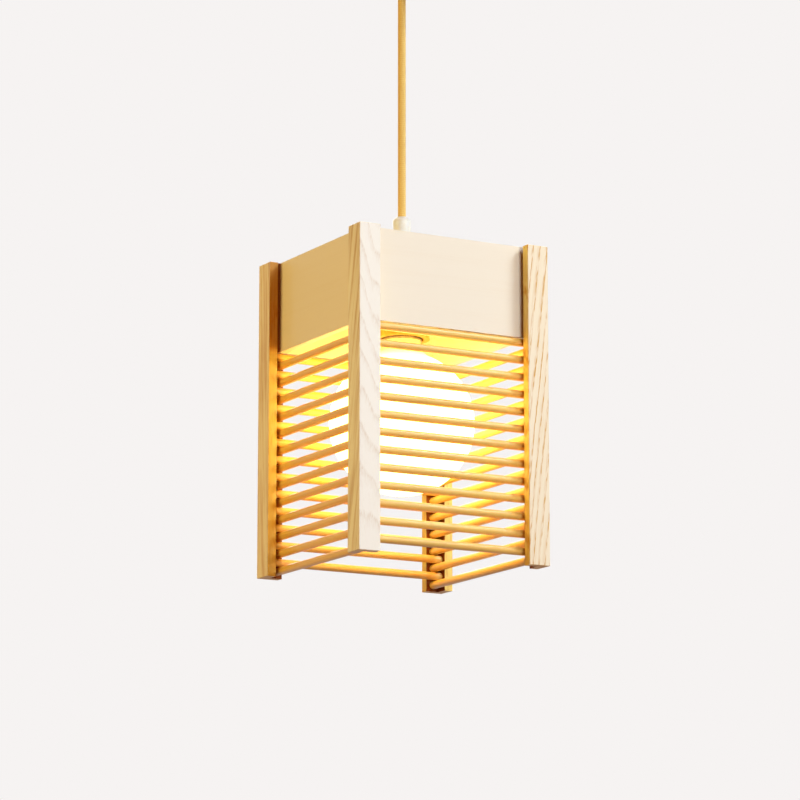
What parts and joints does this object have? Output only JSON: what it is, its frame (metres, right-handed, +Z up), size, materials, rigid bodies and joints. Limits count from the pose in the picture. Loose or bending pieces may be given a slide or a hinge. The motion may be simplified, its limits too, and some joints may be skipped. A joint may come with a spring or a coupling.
{
  "type": "pendant light",
  "caption": "Square wooden pendant lantern with rabbeted corner posts, plain upper panels and open dowel walls round a globe bulb, hung by a textile cord from a round canopy.",
  "frame": {"origin": "centre of the mounting bar's upper face, where it lies on the ceiling", "axes": "+Z up towards the ceiling, +X along the mounting bar and square to the side walls, -Y towards the front wall"},
  "size_m": [0.138, 0.138, 0.428],
  "materials": {
    "ash_post": "fine-sanded ash with a clear matt coat",
    "panel_wood": "smooth pale veneer with a clear matt coat",
    "rod_wood": "sanded dowel with a clear matt coat",
    "board_wood": "sanded plywood",
    "grip_plastic": "translucent moulded plastic",
    "zinc_steel": "bright zinc",
    "brass": "bare brass",
    "holder_metal": "satin brass plating",
    "holder_ceramic": "unglazed white ceramic",
    "opal_glass": "opal glass, lit",
    "cap_metal": "bright rolled aluminium",
    "black_insulator": "black vitreous insulator",
    "cord_textile": "braided amber textile sleeve",
    "canopy_paint": "smooth white powder coat",
    "terminal_plastic": "moulded polyamide",
    "lead_insulation": "flexible wire insulation"
  },
  "bodies": {
    "canopy": {"canopy_cup": "canopy_paint", "mounting_bar": "zinc_steel", "canopy_studs": "zinc_steel", "cap_nuts": "zinc_steel", "canopy_grip": "grip_plastic", "canopy_grip_screw": "zinc_steel", "canopy_nipple": "zinc_steel", "canopy_nut": "zinc_steel", "cord_tail": "cord_textile", "supply_leads": "lead_insulation", "terminal_block": "terminal_plastic", "terminal_screws": "brass"},
    "cord_neck": {"cord_neck": "cord_textile"},
    "cord": {"pendant_cord": "cord_textile"},
    "lamp": {"post_front_left": "ash_post", "post_front_right": "ash_post", "post_back_left": "ash_post", "post_back_right": "ash_post", "panel_front": "panel_wood", "panel_back": "panel_wood", "panel_left": "panel_wood", "panel_right": "panel_wood", "rods_front": "rod_wood", "rods_back": "rod_wood", "rods_left": "rod_wood", "rods_right": "rod_wood", "top_board": "board_wood", "lamp_grip": "grip_plastic", "lamp_grip_screw": "zinc_steel", "lamp_nipple": "zinc_steel", "holder_cap": "holder_metal", "holder_shell": "holder_metal", "holder_insert": "holder_ceramic", "holder_screw_shell": "brass", "holder_contact": "brass", "holder_leads": "lead_insulation"},
    "bulb_feed": {"bulb_contact": "brass"},
    "bulb": {"bulb_globe": "opal_glass", "bulb_cap": "cap_metal", "bulb_insulator": "black_insulator"}
  },
  "joints": [
    {"name": "swing_front_back", "type": "hinge", "parent": "canopy", "child": "cord_neck", "pos_m": [0, 0, -0.041], "axis": [1, 0, 0], "range_deg": [-30, 30]},
    {"name": "swing_side", "type": "hinge", "parent": "cord_neck", "child": "cord", "pos_m": [0, 0, -0.041], "axis": [0, 1, 0], "range_deg": [-30, 30]},
    {"name": "lamp_twist", "type": "hinge", "parent": "cord", "child": "lamp", "pos_m": [0, 0, -0.1938], "axis": [0, 0, 1], "range_deg": [-180, 180]},
    {"name": "bulb_feed", "type": "slide", "parent": "lamp", "child": "bulb_feed", "axis": [0, 0, -1], "range_m": [0, 0.01824]},
    {"name": "bulb_turn", "type": "hinge", "parent": "bulb_feed", "child": "bulb", "pos_m": [0, 0, -0.378], "axis": [0, 0, -1], "range_deg": [0, 1800]}
  ],
  "couplings": [
    {"joint": "bulb_feed", "follows": "bulb_turn", "m_per_rad": 0.00057751}
  ]
}
